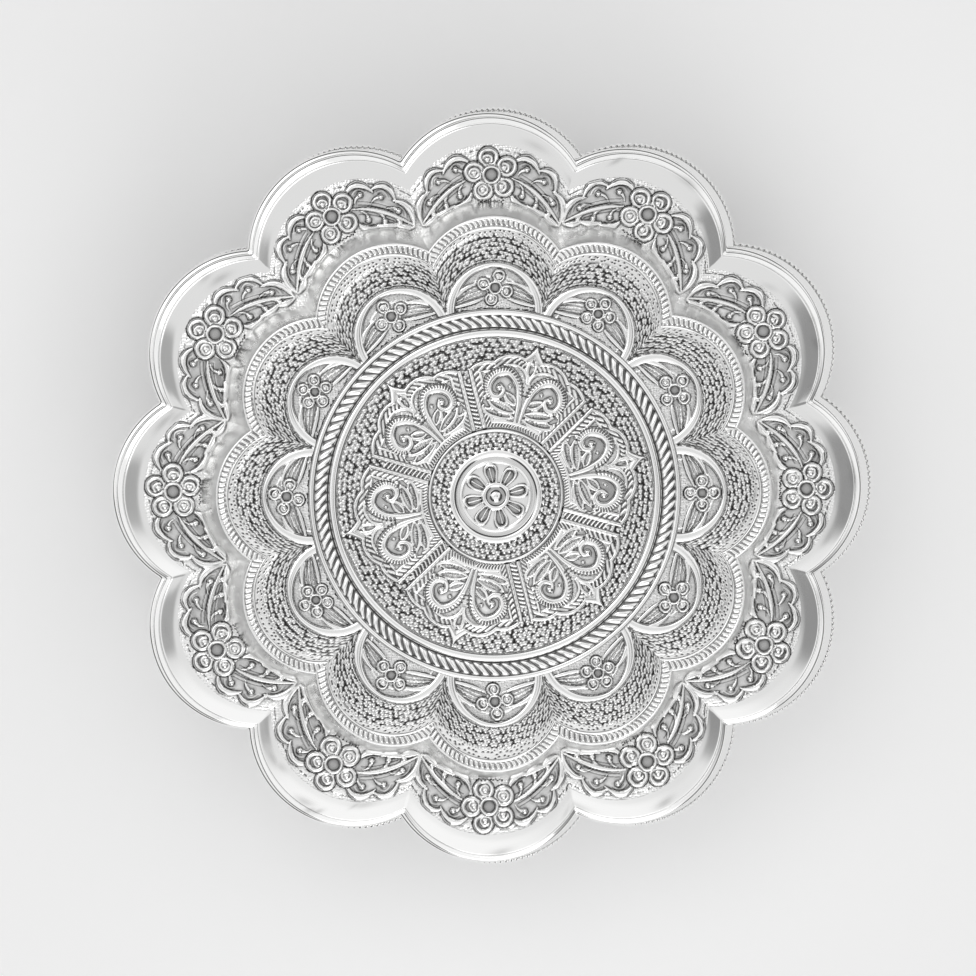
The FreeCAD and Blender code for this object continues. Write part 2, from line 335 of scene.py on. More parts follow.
@dataclass
class Chasing:
    """Heights of chased work over a patch of sheet, drawn stroke by stroke as with small punches."""

    u: Array
    v: Array
    height: Array = field(init=False)
    # how dark each point is painted: oxide in the hollows together with painted shade where shade falls
    oxide_and_shade: Array = field(init=False)

    def __post_init__(self) -> None:
        """Starts from a plain, bright sheet."""
        self.height = np.zeros(self.u.shape)
        self.oxide_and_shade = np.zeros(self.u.shape)

    def _lift(self, index: Array, lift: Array) -> None:
        """Raises points to at least the given heights, and clears the painted oxide and shade from what it
        raises.

        Args:
            index: the points' flat indexes.
            lift: a height for each.
        """
        before = self.height.flat[index]
        self.oxide_and_shade.flat[index] = np.where(lift > before, 0, self.oxide_and_shade.flat[index])
        self.height.flat[index] = np.maximum(before, lift)

    def _set(self, index: Array, inside: Array, level: float, oxide_and_shade: float) -> None:
        """Sets the indexed points that are inside something to one level and one darkness of oxide and
        painted shade.
        """
        self.height.flat[index] = np.where(inside, level, self.height.flat[index])
        self.oxide_and_shade.flat[index] = np.where(inside, oxide_and_shade, self.oxide_and_shade.flat[index])

    def _near(self, line: Array, reach: float) -> Array:
        """Finds the patch's points near a line.

        Args:
            line: the line's points.
            reach: how far off it to look.

        Returns:
            Their flat indexes.
        """
        low, high = line.min(axis=0) - reach, line.max(axis=0) + reach
        near = (self.u > low[0]) & (self.u < high[0]) & (self.v > low[1]) & (self.v < high[1])
        return np.flatnonzero(near)

    def _around(self, at: Array, reach: float) -> tuple[Array, Array]:
        """Flat indexes of the points around a place, and how far from it each is."""
        index = self._near(at[None], reach)
        return index, np.hypot(self.u.flat[index] - at[0], self.v.flat[index] - at[1])

    def _profile(self, line: Array, widths: Array, index: Array, fullness: float) -> Array:
        """The greatest share of its height that a tapering stroke has at points.

        Args:
            line: the stroke's points.
            widths: its half width at each.
            index: flat indexes of the patch's points.
            fullness: as in ridge().

        Returns:
            A share from 0 to 1 for each index.
        """
        points = np.stack([self.u.flat[index], self.v.flat[index]], axis=1)
        start, run = line[:-1], np.diff(line, axis=0)
        rel = points[:, None, :] - start[None]
        t = unit((rel * run).sum(axis=2) / ((run**2).sum(axis=1) + 1e-12))
        away = rel - t[..., None] * run
        width = widths[:-1] + np.diff(widths) * t
        shape = unit(1 - (away**2).sum(axis=2) / width**2) ** fullness
        return (shape * (width / widths.max()) ** 0.6).max(axis=1)

    def stroke(
        self, line: Array, widths: Sequence[float], height: float, fullness: float = 0.32, foot: float = 0.0
    ) -> None:
        """Raises a tapering ridge along a line, and leaves what it does not cover.

        Args:
            line: points on the sheet.
            widths: half widths, spread evenly from the line's start to its end.
            height: the ridge's height where it is widest.
            fullness: as in ridge().
            foot: the level that the ridge starts from.
        """
        half = np.interp(np.linspace(0, 1, len(line)), np.linspace(0, 1, len(widths)), widths)
        index = self._near(line, half.max())
        shape = self._profile(line, half, index, fullness)
        self._lift(index, np.where(shape > 0, foot + height * shape, -1))

    def cut(self, line: Array, half: float, depth: float, oxide_and_shade: float) -> None:
        """Cuts a short groove into raised work, its bottom painted dark with oxide and shade.

        Args:
            line: points on the sheet.
            half: half of the groove's width.
            depth: how deep it is.
            oxide_and_shade: how dark its bottom is painted, oxide with painted shade.
        """
        index = self._near(line, half)
        shape = self._profile(line, np.full(len(line), half), index, 0.5)
        self.height.flat[index] -= depth * shape
        self.oxide_and_shade.flat[index] = np.maximum(self.oxide_and_shade.flat[index], oxide_and_shade * shape)

    def dome(self, at: Array, radius: float, height: float) -> None:
        """Raises a round boss."""
        index, away = self._around(at, radius)
        self._lift(index, np.where(away < radius, ridge(away, radius, height), -1))

    def ring(self, at: Array, radius: float, half: float, height: float) -> None:
        """Raises a round ridge about a point."""
        index, away = self._around(at, radius + half)
        self._lift(index, np.where(abs(away - radius) < half, ridge(away - radius, half, height, 0.35), -1))

    def dish(self, at: Array, radius: float, level: float, oxide_and_shade: float) -> None:
        """Sets everything within a circle to one level and one darkness of oxide and painted shade."""
        index, away = self._around(at, radius)
        self._set(index, away < radius, level, oxide_and_shade)

    def bed(self, outline: Array, level: float = BED, oxide_and_shade: float = 0.24) -> None:
        """Sets everything inside a closed outline to one level and one darkness of oxide and painted shade.

        Args:
            outline: the outline's points.
            level: the height inside it.
            oxide_and_shade: how dark it is painted, oxide with painted shade, from 0 to 1.
        """
        index = self._near(outline, 0)
        u, v = self.u.flat[index], self.v.flat[index]
        inside = np.zeros(index.shape, dtype=bool)
        for (u0, v0), (u1, v1) in zip(outline, np.roll(outline, -1, axis=0)):
            if v0 != v1:
                inside ^= ((v0 > v) != (v1 > v)) & (u < (u1 - u0) * (v - v0) / (v1 - v0) + u0)
        self._set(index, inside, level, oxide_and_shade)

    def shade(self, ground: float | Array) -> Array:
        """The painted oxide and shade, with the plain ground between the motifs painted a little dark too."""
        return np.where((self.height < PLAIN) & (self.oxide_and_shade == 0), ground, self.oxide_and_shade)

    def matted(self) -> Array:
        """How strongly each point is matted: the plain ground fully, the motifs not at all."""
        return unit(1 - self.height / RAISED) * (self.oxide_and_shade == 0)


# Ornament: the motifs that repeat over the lid and the wall


@dataclass(frozen=True)
class Leaflet:
    """A pointed leaf: two bowed edges round a sunk, veined bed."""

    base: Pair
    tip: Pair
    belly_far: float
    belly_near: float
    height: float = 1.0
    rim: float = 0.5
    vein_widths: tuple[float, ...] = (0.14, 0.3, 0.12)

    def draw(self, chasing: Chasing, place: Place) -> None:
        """Chases the leaf.

        Args:
            chasing: the heights to draw on.
            place: where the motif that it belongs to stands.
        """
        base, tip = np.array(self.base), np.array(self.tip)
        axis = tip - base
        side = np.array([axis[1], -axis[0]]) / np.hypot(*axis)
        middle = base + 0.58 * axis
        far = bow(base, middle + 2 * self.belly_far * side, tip)
        near = bow(base, middle - 2 * self.belly_near * side, tip)
        # the sunk bed is painted dark: oxide with painted shade
        chasing.bed(place.put(np.vstack([far, near[::-1]])))
        for share in (-0.45, 0.0, 0.45):
            belly = self.belly_far if share > 0 else self.belly_near
            vein = bow(base + 0.12 * axis, middle + 2 * share * belly * side, base + 0.86 * axis, 6)
            chasing.stroke(place.put(vein), self.vein_widths, 0.18, foot=BED)
        chasing.stroke(place.put(near), (0.3, self.rim * 1.1, self.rim * 0.8), self.height * 0.38)
        chasing.stroke(place.put(far), (0.3, self.rim * 1.6, self.rim * 0.9), self.height * 0.5)


@dataclass(frozen=True)
class Scallop:
    """One scallop of a leaf's edge: a thick crescent, thin at both ends, round a curled bead."""

    start: Pair
    crown: Pair
    end: Pair
    bead: Pair
    tail: Pair
    vein_shares: tuple[float, ...] = (0.4, 0.62, 0.84)
    # half width, depth and painted shade of each vein's groove
    vein: tuple[float, float, float] = (0.26, 0.06, 0.5)
    hook_widths: tuple[float, ...] = (0.15, 0.45, 0.7)
    widths: tuple[float, ...] = (0.34, 0.9, 1.2, 0.95, 0.36)

    def edge(self) -> Array:
        """The crescent's middle line, through its crown."""
        start, crown, end = (np.array(point) for point in (self.start, self.crown, self.end))
        return bow(start, 2 * crown - (start + end) / 2, end, 11)

    def draw(self, chasing: Chasing, place: Place) -> None:
        """Chases the scallop.

        Args:
            chasing: the heights to draw on.
            place: where the leaf that it belongs to stands.
        """
        edge, bead, tail = self.edge(), np.array(self.bead), np.array(self.tail)
        for share in self.vein_shares:
            vein = edge[1:-1] + share * (bead - edge[1:-1])
            chasing.cut(place.put(vein), *self.vein)
        way = bead - tail
        hook = bow(tail, (tail + bead) / 2 + 0.35 * np.array([-way[1], way[0]]), bead)
        chasing.stroke(place.put(hook), self.hook_widths, 0.5, foot=BED / 2)
        chasing.dome(place.spot(bead), 0.95 * place.scale, 0.7)
        chasing.stroke(place.put(edge), self.widths, 0.85)


@dataclass(frozen=True)
class Flower:
    """Round flower: a smooth centre disc in a ring, and ring petals with a curled bead each."""

    petals: int
    centre: float
    petal: float
    reach: float
    height: float = 0.75

    def draw(self, chasing: Chasing, place: Place, spin: float) -> None:
        """Chases the flower.

        Args:
            chasing: the heights to draw on.
            place: the flower's middle.
            spin: how far the first petal is turned from pointing outwards.
        """
        middle = place.spot((0, 0))
        size = self.petal * place.scale
        for index in range(self.petals):
            turn = spin + FULL_TURN * index / self.petals
            way = np.array([math.sin(turn), math.cos(turn)])
            at = place.spot(self.reach * way)
            inner = (self.reach - self.petal * 0.14) * way
            bead = place.spot(inner + (0.12 * self.petal, -0.08 * self.petal))
            # a painted shadow round each petal, and painted shade in its dish
            chasing.dish(at, 1.12 * size, BED, 0.5)
            chasing.dish(at, 0.9 * size, 0.05, 0.35)
            chasing.ring(at, 0.8 * size, 0.22 * size, self.height)
            chasing.ring(bead, 0.44 * size, 0.12 * size, self.height * 0.45)
            chasing.dome(bead, 0.28 * size, self.height * 0.6)
        size = self.centre * place.scale
        # a painted shadow round the centre disc, and painted shade on the disc inside its ring
        chasing.dish(middle, 1.26 * size, BED, 0.6)
        chasing.dish(middle, size, 0.1, 0.5)
        chasing.ring(middle, size, 0.22 * size, self.height)


@dataclass(frozen=True)
class Spray:
    """Half of a leaf on either side of a flower: a long midrib with scallops outside and inside it."""

    midrib: tuple[Pair, ...] = ((6.6, -1.2), (14.8, -4.2), (21.6, -15.4))
    outer: tuple[Scallop, ...] = (
        Scallop((6.4, 3.4), (11.8, 5.1), (15.4, 0.3), (11.4, 1.5), (8.4, -0.6)),
        Scallop((14.9, 1.2), (20.0, 0.0), (20.3, -6.3), (16.9, -2.4), (12.8, -2.9)),
        Scallop((19.7, -5.4), (23.0, -9.6), (21.7, -16.2), (19.7, -9.2), (16.4, -6.6)),
    )
    inner: tuple[Scallop, ...] = (
        Scallop((6.2, -5.6), (8.2, -9.4), (12.4, -10.4), (9.9, -6.9), (9.0, -3.2)),
        Scallop((11.6, -9.8), (14.2, -11.9), (18.0, -13.0), (14.3, -9.9), (13.0, -5.8)),
        Scallop((16.8, -12.4), (18.8, -14.8), (21.4, -16.3), (18.2, -12.8), (16.9, -9.8)),
    )
    vein_shifts: tuple[float, ...] = (-1.5, 1.0, 1.9)
    # half width, depth and painted shade of each vein's groove
    vein: tuple[float, float, float] = (0.26, 0.08, 0.6)
    widths: tuple[float, ...] = (0.2, 0.5, 0.75, 0.75, 0.55, 0.3)

    def draw(self, chasing: Chasing, place: Place) -> None:
        """Chases the half leaf.

        Args:
            chasing: the heights to draw on.
            place: the middle of the flower beside it.
        """
        outer = np.vstack([scallop.edge() for scallop in self.outer])
        inner = np.vstack([scallop.edge() for scallop in self.inner])
        # the sunk bed between the scallops is painted dark: oxide with painted shade
        chasing.bed(place.put(np.vstack([outer, inner[::-1]])))
        for scallop in self.outer[::-1] + self.inner[::-1]:
            scallop.draw(chasing, place)
        line = bow(*self.midrib, steps=15)
        for shift in self.vein_shifts:
            chasing.cut(place.put(line[2:-4] + (0.5 * shift, 1.1 * shift)), *self.vein)
        chasing.stroke(place.put(line), self.widths, 0.6)


LOBE_FLOWER = Flower(5, 2.6, 3.3, 5.6)
SPRAY = Spray()


# Sheets: patches of points that become meshes


def linked(name: str, data: bpy.types.ID) -> bpy.types.Object:
    """Puts a new object in the scene.

    Args:
        name: its name.
        data: its mesh, light or camera.

    Returns:
        The object.
    """
    thing = bpy.data.objects.new(name, data)
    bpy.context.scene.collection.objects.link(thing)
    return thing


def meshed(name: str, shape: bmesh.types.BMesh) -> bpy.types.Object:
    """Puts a bmesh in the scene as an object, and frees it.

    Args:
        name: the object's name.
        shape: the bmesh.

    Returns:
        The object.
    """
    mesh = bpy.data.meshes.new(name)
    shape.to_mesh(mesh)
    shape.free()
    return linked(name, mesh)


@dataclass
class Sheet:
    """Rows and columns of points on a skin of metal, by radius and angle about its axis and by height."""

    radius: Array
    angle: Array
    z: Array
    closed: bool = True
    marks: dict[str, Array] = field(default_factory=dict)

    def piece(self, name: str, body: Body, offset: Pair) -> bpy.types.Object:
        """Makes the sheet a mesh object that rides on a body, and reports it.

        Args:
            name: the piece's name.
            body: the body that it moves with.
            offset: where the piece's axis stands.

        Returns:
            The new object.
        """
        rows, columns = self.radius.shape
        x = self.radius * np.cos(self.angle) + offset[0]
        y = self.radius * np.sin(self.angle) + offset[1]
        shape = bmesh.new()
        bmesh.ops.create_grid(shape, x_segments=columns - 1, y_segments=rows - 1, size=1.0)
        places = np.stack([x, y, self.z], axis=2).reshape(-1, 3) * MM
        for vert, place in zip(shape.verts, places.tolist()):
            vert.co = place
        for mark, values in self.marks.items():
            layer = shape.verts.layers.float.new(mark)
            for vert, value in zip(shape.verts, values.ravel().tolist()):
                vert[layer] = value
        if self.closed:
            shape.verts.ensure_lookup_table()
            pairs = {shape.verts[(row + 1) * columns - 1]: shape.verts[row * columns] for row in range(rows)}
            bmesh.ops.weld_verts(shape, targetmap=pairs)
        for face in shape.faces:
            face.smooth = True
        piece = meshed(name, shape)
        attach(piece, body.value)
        LOG.info("%s: %d faces", name, len(piece.data.polygons))
        return piece


@dataclass
class Strip:
    """Strip of sheet between two lobed lines, as rows from the outer line to the inner one."""

    outer: LobedLine
    inner: LobedLine
    rows: int
    columns: int
    start: float = 0.0
    end: float = FULL_TURN

    def __post_init__(self) -> None:
        """Lays out the points."""
        self.angle = np.linspace(self.start, self.end, self.columns + 1)[None, :]
        self.across = np.linspace(0, 1, self.rows + 1)[:, None]
        outer, inner = self.outer.radius(self.angle), self.inner.radius(self.angle)
        self.radius = outer + (inner - outer) * self.across
        self.width = outer - inner
        self.edge = self.across * self.width
        self.closed = math.isclose(self.end - self.start, FULL_TURN)

    def chasing(self) -> Chasing:
        """The strip as plain sheet to chase."""
        return Chasing(self.radius * np.cos(self.angle), self.radius * np.sin(self.angle))

    def fade(self, outer: float, inner: float) -> Array:
        """Shares that rise from 0 at both lines to 1 at the given distances from them."""
        return unit(self.edge / outer) * unit((self.width - self.edge) / inner)

    def pearls(self, depth: Array, pitch: float, count: int, size: float, jitter: float) -> Array:
        """Rows of pearls round the axis, by how deep in the pearled ground each point is."""
        return pearls(depth / pitch, self.angle / FULL_TURN * count, count, size, jitter)

    def lobe_places(self, radius: float, seed: int, loose: float = 1.0) -> list[Place]:
        """Places of one motif to a lobe, for the lobes that the strip reaches.

        Args:
            radius: how far out the motif stands.
            seed: seed of a hand's unevenness.
            loose: how uneven it is.

        Returns:
            A place for each lobe.
        """
        rng = np.random.default_rng(seed)
        places = []
        for lobe in range(LOBES):
            off = rng.uniform(-1, 1, 4) * loose * UNEVEN
            angle = 2 * HALF_LOBE * lobe + off[0]
            out = radius + off[1]
            near = min(abs(angle - limit) % FULL_TURN for limit in (self.start, self.end))
            if self.closed or self.start - HALF_LOBE < angle < self.end + HALF_LOBE or near < 2 * HALF_LOBE:
                origin = (out * math.cos(angle), out * math.sin(angle))
                places.append(Place(origin, angle + off[2], 1 + off[3]))
        return places

    def sheet(
        self,
        level: float | Array,
        height: Array,
        matting: float | Array = 0.0,
        oxide_and_shade: float | Array = 0.0,
        deep: float = 1.0,
    ) -> Sheet:
        """The strip as a sheet, with its darkness worked out from how sunk each point is: oxide in the
        hollows and painted shade.

        Args:
            level: the smooth height of the sheet.
            height: the chased height above it.
            matting: how strongly the ground is matted, from 0 to 1.
            oxide_and_shade: how dark the ground is painted from its own marks, oxide with shade, from 0 to 1.
            deep: how strongly sunk places are painted dark with oxide and shade.

        Returns:
            The sheet.
        """
        # painted oxide and shade: sunk places darker, where shade falls and oxide lies
        patina_and_shade = unit(deep * recesses(height, self.closed) + oxide_and_shade)
        marks = {"patina_and_shade": patina_and_shade, "matting": matting + 0 * height}
        return Sheet(self.radius, self.angle, level + height, self.closed, marks)


def swept(section: Sequence[tuple[LobedLine, float]], columns: int, steps: int) -> Sheet:
    """A skin swept round the lobes from an open section.

    Args:
        section: the section's lines with their heights.
        columns: how many columns go round.
        steps: how many rows each run of the section gets.

    Returns:
        The sheet, facing away from the axis where the section goes upwards.
    """
    angle = np.linspace(0, FULL_TURN, columns + 1)[None, :]
    radius, height = [], []
    for (line, z), (next_line, next_z) in zip(section, section[1:]):
        for share in np.arange(steps) / steps:
            radius.append(line.radius(angle) * (1 - share) + next_line.radius(angle) * share)
            height.append(z * (1 - share) + next_z * share)
    radius.append(section[-1][0].radius(angle))
    height.append(section[-1][1])
    r = np.vstack(radius)
    return Sheet(r, angle, np.array(height)[:, None] + 0 * r)


def half_round(line: LobedLine, bottom: float, height: float, bulge: float, columns: int) -> Sheet:
    """Skin of a half-round wire against a lobed line.

    Args:
        line: the line that its flat side follows.
        bottom: its lower edge's height.
        height: how tall it is.
        bulge: how far it stands out.
        columns: how many columns go round.

    Returns:
        The wire's skin.
    """
    turns = np.linspace(0, math.pi, 11)
    section = [(line.grown(bulge * math.sin(t)), bottom + height / 2 * (1 - math.cos(t))) for t in turns]
    return swept(section, columns, 1)


# Finishes


@dataclass
class Nodes:
    """A node tree as it is put together."""

    tree: bpy.types.NodeTree

    def plug(self, node: bpy.types.Node, inputs: dict[str | int, Any]) -> None:
        """Sets or links a node's inputs.

        Args:
            node: the node.
            inputs: a value, or another node's output, for each input by name or number.
        """
        for key, value in inputs.items():
            if isinstance(value, Socket):
                self.tree.links.new(value, node.inputs[key])
            else:
                node.inputs[key].default_value = value

    def add(
        self, kind: str, output: str, inputs: Optional[dict[str | int, Any]] = None, **settings: Any
    ) -> Socket:
        """Adds a node.

        Args:
            kind: the node's type.
            output: the output to go on from.
            inputs: as in plug().
            settings: the node's own settings.

        Returns:
            The output.
        """
        node = self.tree.nodes.new(kind)
        for name, value in settings.items():
            setattr(node, name, value)
        self.plug(node, inputs or {})
        return node.outputs[output]

    def math(self, operation: str, *values: float | Socket) -> Socket:
        """Adds a sum of numbers or other nodes' outputs."""
        return self.add("ShaderNodeMath", "Value", dict(enumerate(values)), operation=operation)

    def bump(self, distance: float, inputs: dict[str | int, Any]) -> Socket:
        """Adds a bump of a height in millimetres."""
        return self.add("ShaderNodeBump", "Normal", {"Strength": 1.0, "Distance": distance * MM, **inputs})


@dataclass(frozen=True)
class SilverFinish:
    """Solid silver: polished high parts, recesses painted darker with oxide and shade, and the fine waviness
    of hand work.
    """

    name: str
    slot: str = "polished_silver"
    roughness: float = 0.1
    planish: float = 0.02
    # how strongly the painted oxide and shade darkens the colour, and the colour it darkens to
    patina_and_shade: float = 0.0
    matting: float = 0.0
    bright: tuple[float, float, float] = (0.93, 0.93, 0.925)
    dark: tuple[float, float, float] = (0.03, 0.029, 0.028)
    wiped_shares: Pair = (0.7, 1.4)
    dulling: float = 0.25
    cloud_scale: float = 60.0
    hammer_scale: float = 45.0
    punch_pitch: float = 0.85

    def material(self) -> bpy.types.Material:
        """Builds the finish's material.

        Returns:
            A node material in object coordinates.
        """
        material = bpy.data.materials.new(self.name)
        material.use_nodes = True
        nodes = Nodes(material.node_tree)
        place = nodes.add("ShaderNodeTexCoord", "Object")
        cloud = nodes.add(
            "ShaderNodeTexNoise", "Fac", {"Scale": self.cloud_scale, "Detail": 5.0, "Vector": place}
        )
        low, high = (self.roughness * share for share in self.wiped_shares)
        wiped = {"From Min": 0.3, "From Max": 0.7, "To Min": low, "To Max": high, "Value": cloud}
        wipe = nodes.add("ShaderNodeMapRange", "Result", wiped)
        hammer = nodes.add(
            "ShaderNodeTexNoise", "Fac", {"Scale": self.hammer_scale, "Detail": 1.0, "Vector": place}
        )
        under = {"Normal": self._punched(nodes, place)} if self.matting else {}
        bump = nodes.bump(self.planish, {"Height": hammer, **under})
        # the sheet's painted oxide and shade, which darkens the colour and dulls the shine
        recess = nodes.add("ShaderNodeAttribute", "Fac", attribute_name="patina_and_shade")
        strength = nodes.math("MULTIPLY", recess, self.patina_and_shade)
        colours = {"A": (*self.bright, 1), "B": (*self.dark, 1), "Factor": strength}
        tint = nodes.add("ShaderNodeMix", "Result", colours, data_type="RGBA")
        dull = nodes.math("MULTIPLY_ADD", strength, self.dulling, wipe)
        shader = material.node_tree.nodes["Principled BSDF"]
        nodes.plug(shader, {"Metallic": 1.0, "Base Color": tint, "Roughness": dull, "Normal": bump})
        return material

    def _punched(self, nodes: Nodes, place: Socket) -> Socket:
        """Adds the fine punch marks of a matted ground.

        Args:
            nodes: the material's nodes.
            place: the texture coordinates.

        Returns:
            The marks' normal, for the planishing to go over.
        """
        ground = nodes.add("ShaderNodeAttribute", "Fac", attribute_name="matting")
        marks = {"Scale": 1 / (self.punch_pitch * MM), "Randomness": 0.7, "Vector": place}
        dots = nodes.add("ShaderNodeTexVoronoi", "Distance", marks)
        return nodes.bump(self.matting, {"Height": nodes.math("MULTIPLY", dots, ground)})


@dataclass(frozen=True)
class StudioFinish:
    """Plain matt paper of the studio floor."""

    name: str = "studio_paper"
    colour: tuple[float, float, float] = (0.85, 0.85, 0.85)
    roughness: float = 0.9
    glow: float = 0.22

    def material(self) -> bpy.types.Material:
        """Builds the paper's material, paler to the camera and in mirrors than as a source of light.

        Returns:
            The material.
        """
        material = bpy.data.materials.new(self.name)
        material.use_nodes = True
        nodes = Nodes(material.node_tree)
        seen = nodes.add("ShaderNodeLightPath", "Is Camera Ray")
        path = seen.node
        for other in ("Is Glossy Ray", "Is Transmission Ray"):
            seen = nodes.math("ADD", seen, path.outputs[other])
        paper = {
            "Base Color": (*self.colour, 1),
            "Roughness": self.roughness,
            "Emission Color": (1, 1, 1, 1),
            "Emission Strength": nodes.math("MULTIPLY", seen, self.glow),
        }
        nodes.plug(material.node_tree.nodes["Principled BSDF"], paper)
        return material


POLISHED = SilverFinish("polished_silver", roughness=0.07, planish=0.08, patina_and_shade=1.0)
CHASED = SilverFinish("chased_silver", "chased_silver", 0.12, 0.02, patina_and_shade=1.0, matting=0.13)
INNER = SilverFinish("satin_silver", roughness=0.3, planish=0.03)


@dataclass
class Part:
    """One body of the box, and how a sheet becomes one of its pieces."""

    materials: dict[SilverFinish, bpy.types.Material]
    body: Body = Body.BASE
    shell: str = "base_wall"
    offset: Pair = (0.0, 0.0)

    def _dress(self, piece: bpy.types.Object, finish: SilverFinish) -> None:
        """Gives a piece its material.

        Args:
            piece: the piece.
            finish: its finish.
        """
        piece.data.materials.clear()
        piece.data.materials.append(self.materials[finish])

    def _add(
        self, sheet: Sheet, name: str, finish: SilverFinish = CHASED, node: Optional[str] = None
    ) -> None:
        """Makes a sheet a dressed piece in place of a plain solid.

        Args:
            sheet: the piece's skin.
            name: the piece's name.
            finish: its finish.
            node: the solid's node, or the body's shell where none is given.
        """
        piece = sheet.piece(name, self.body, self.offset)
        self._dress(piece, finish)
        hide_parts(node or self.shell)


# The lid


@dataclass(frozen=True)
class Panel:
    """One pointed panel of the lid's middle: a cusped, twisted border round two mirrored scrolls."""

    turn: float
    cusps: tuple[tuple[float, float, float], ...] = ((36.6, 5.2, 8.4), (32.6, 11.6, 8.6))
    point: tuple[float, float, float] = (50.2, 8.6, 6.4)
    shoulder: float = 41.0
    foot: float = 20.2
    bar: Pair = (22.4, 36.6)
    bar_half: float = 1.7
    hatching: tuple[float, float, float] = (22.8, 36.4, 1.35)
    border: Pair = (0.6, 3.2)
    stroke_pitch: float = 1.5
    scroll: tuple[Pair, ...] = (
        (0.7, 24.6), (1.2, 30.6), (2.9, 36.0), (6.7, 39.0), (10.6, 37.4), (12.2, 33.8),
        (10.8, 30.6), (8.0, 30.4), (6.8, 32.7), (8.3, 34.4),
    )
    scroll_widths: tuple[float, ...] = (0.5, 1.1, 1.6, 1.65, 1.25, 0.8, 0.5)
    scroll_bed: tuple[Pair, ...] = (
        (0.6, 25.2), (2.0, 33.4), (5.0, 38.0), (9.0, 38.8), (12.2, 34.0), (12.4, 27.6), (8.0, 24.8),
    )
    leaves: tuple[Leaflet, ...] = (
        Leaflet((1.4, 25.4), (11.6, 25.4), 1.4, 1.3),
        Leaflet((1.2, 27.0), (10.8, 28.6), 1.5, 1.2),
        Leaflet((1.6, 29.4), (6.4, 32.4), 1.2, 1.0),
    )
    bosses: tuple[tuple[Pair, float, float], ...] = (
        ((8.4, 33.4), 1.1, 0.85), ((12.0, 29.4), 0.85, 0.6), ((5.2, 34.6), 0.65, 0.5),
    )

    def _inside(self, chasing: Chasing) -> tuple[Array, Array, Array]:
        """Measures the panel's field.

        Args:
            chasing: the heights that it is drawn on.

        Returns:
            How deep inside the panel each point is, and its place along and across the panel.
        """
        out = chasing.u * math.cos(self.turn) + chasing.v * math.sin(self.turn)
        side = np.abs(chasing.v * math.cos(self.turn) - chasing.u * math.sin(self.turn))
        near, far = (size - np.hypot(out - at, side - off) for at, off, size in self.cusps)
        top, length, breadth = self.point
        point = 0.55 * (breadth * unit((top - out) / length) ** 1.7 - side)
        body = highest(near, far, np.where(out > self.shoulder, point, -9.0))
        bar = out * math.sin(math.pi / 6) - side * math.cos(math.pi / 6) - 1.1
        low = np.where(out < self.bar[1], 8.0, -9.0)
        depth = np.minimum(np.maximum(body, np.minimum(low, bar)), bar)
        return np.minimum(depth, np.hypot(chasing.u, chasing.v) - self.foot), out, side

    def draw(self, chasing: Chasing) -> Array:
        """Chases the panel.

        Args:
            chasing: the heights to draw on.

        Returns:
            1 inside the panel and 0 outside.
        """
        depth, out, side = self._inside(chasing)
        inside = (depth > 0) & (out > 0)
        along = np.arctan2(side, out) * 40 + out * 0.9
        strokes = wave(FULL_TURN * along / self.stroke_pitch)
        border = (depth > self.border[0]) & (depth < self.border[1])
        hatched = np.where(border, 0.32 * strokes**0.5, 0.0)
        level = highest(hatched, ridge(depth - 0.65, 0.8, 0.75, 0.32), ridge(depth - 3.5, 0.6, 0.5, 0.35))
        chasing.height = np.where(inside, level, chasing.height)
        # painted shade in the gaps between the border's hatching strokes
        chasing.oxide_and_shade = np.where(inside, 0.4 * border * unit(1 - strokes / 0.5), chasing.oxide_and_shade)
        centre = Place((0, 0), self.turn)
        for place in centre.sides():
            self._scrolls(chasing, place)
        Leaflet((0, 38.6), (0, 45.2), 1.3, 1.3, 1.2).draw(chasing, centre)
        chasing.dome(centre.spot((0, 43.2)), 0.85, 0.7)
        self._bar(chasing, Place((0, 0), self.turn + math.pi / 6))
        return inside.astype(float)

    def _bar(self, chasing: Chasing, place: Place) -> None:
        """Chases the hatched bar between this panel and the next.

        Args:
            chasing: the heights to draw on.
            place: the bar's own axis.
        """
        (low, high), half = self.bar, self.bar_half
        corners = [(-half, low), (half, low), (half, high), (-half, high)]
        # the bar's ground painted dark as shade between the hatching
        chasing.bed(place.put(corners), 0.0, 0.45)
        for out in np.arange(*self.hatching):
            chasing.stroke(place.put([(-0.9, out - 0.4), (0.9, out + 0.4)]), (0.36, 0.36), 0.35)
        for side in (-1.5, 1.5):
            chasing.stroke(place.put([(side, low), (side, 36.8)]), (0.5, 0.5), 0.6)

    def _scrolls(self, chasing: Chasing, place: Place) -> None:
        """Chases one side's scroll with its ribs and leaves.

        Args:
            chasing: the heights to draw on.
            place: the panel's own axis, mirrored for its second side.
        """
        # the scroll's sunk bed painted a little dark: oxide with painted shade
        chasing.bed(place.put(self.scroll_bed), -0.12, 0.12)
        for leaf in self.leaves:
            leaf.draw(chasing, place)
        line = flowing(self.scroll)
        chasing.stroke(place.put(line), self.scroll_widths, 1.05, 0.28)
        for index in range(7, len(line) - 14):
            way = line[index + 1] - line[index]
            side = np.array([-way[1], way[0]]) / np.hypot(*way)
            rib = np.stack([line[index] + 0.25 * side, line[index] + 1.5 * side - 0.5 * way])
            # each rib's groove painted dark as shade
            chasing.cut(place.put(rib), 0.24, 0.28, 0.45)
        for at, radius, height in self.bosses:
            chasing.dome(place.spot(at), radius, height)


